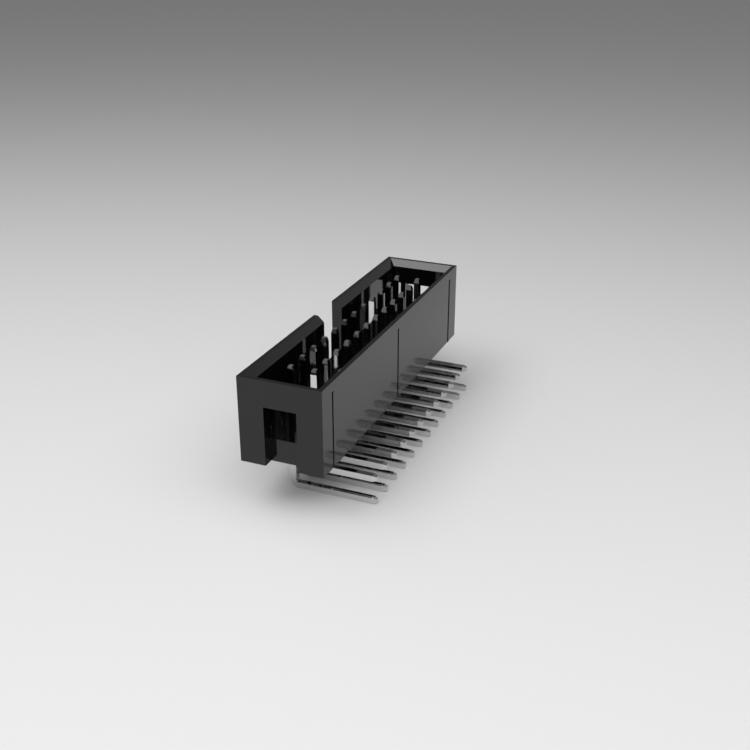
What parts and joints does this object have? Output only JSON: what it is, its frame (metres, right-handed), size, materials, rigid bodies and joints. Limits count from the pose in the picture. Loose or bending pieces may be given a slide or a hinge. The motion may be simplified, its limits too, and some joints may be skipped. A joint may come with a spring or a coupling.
{
  "type": "shrouded pin header",
  "caption": "Right-angle shrouded pin header: an open-topped black moulded box with a key notch, end slots and two rows of square contacts whose tails bend to one side.",
  "frame": {"origin": "on the plane that the far row's tails lie on, midway along the rows, and midway between the outer side wall and the ends of the tails", "axes": "+X towards the circuit board, along the tails; Y along the rows; +Z out of the mouth, along the mating pins"},
  "size_m": [0.0122, 0.0382, 0.0139],
  "materials": {
    "housing_plastic": "smooth moulded black, slight sheen",
    "plated_contact": "bright tin plate, mirror-like"
  },
  "bodies": {
    "root": {"housing": "housing_plastic", "near_contact_01": "plated_contact", "near_contact_02": "plated_contact", "near_contact_03": "plated_contact", "near_contact_04": "plated_contact", "near_contact_05": "plated_contact", "near_contact_06": "plated_contact", "near_contact_07": "plated_contact", "near_contact_08": "plated_contact", "near_contact_09": "plated_contact", "near_contact_10": "plated_contact", "near_contact_11": "plated_contact", "near_contact_12": "plated_contact", "far_contact_01": "plated_contact", "far_contact_02": "plated_contact", "far_contact_03": "plated_contact", "far_contact_04": "plated_contact", "far_contact_05": "plated_contact", "far_contact_06": "plated_contact", "far_contact_07": "plated_contact", "far_contact_08": "plated_contact", "far_contact_09": "plated_contact", "far_contact_10": "plated_contact", "far_contact_11": "plated_contact", "far_contact_12": "plated_contact"}
  },
  "joints": []
}
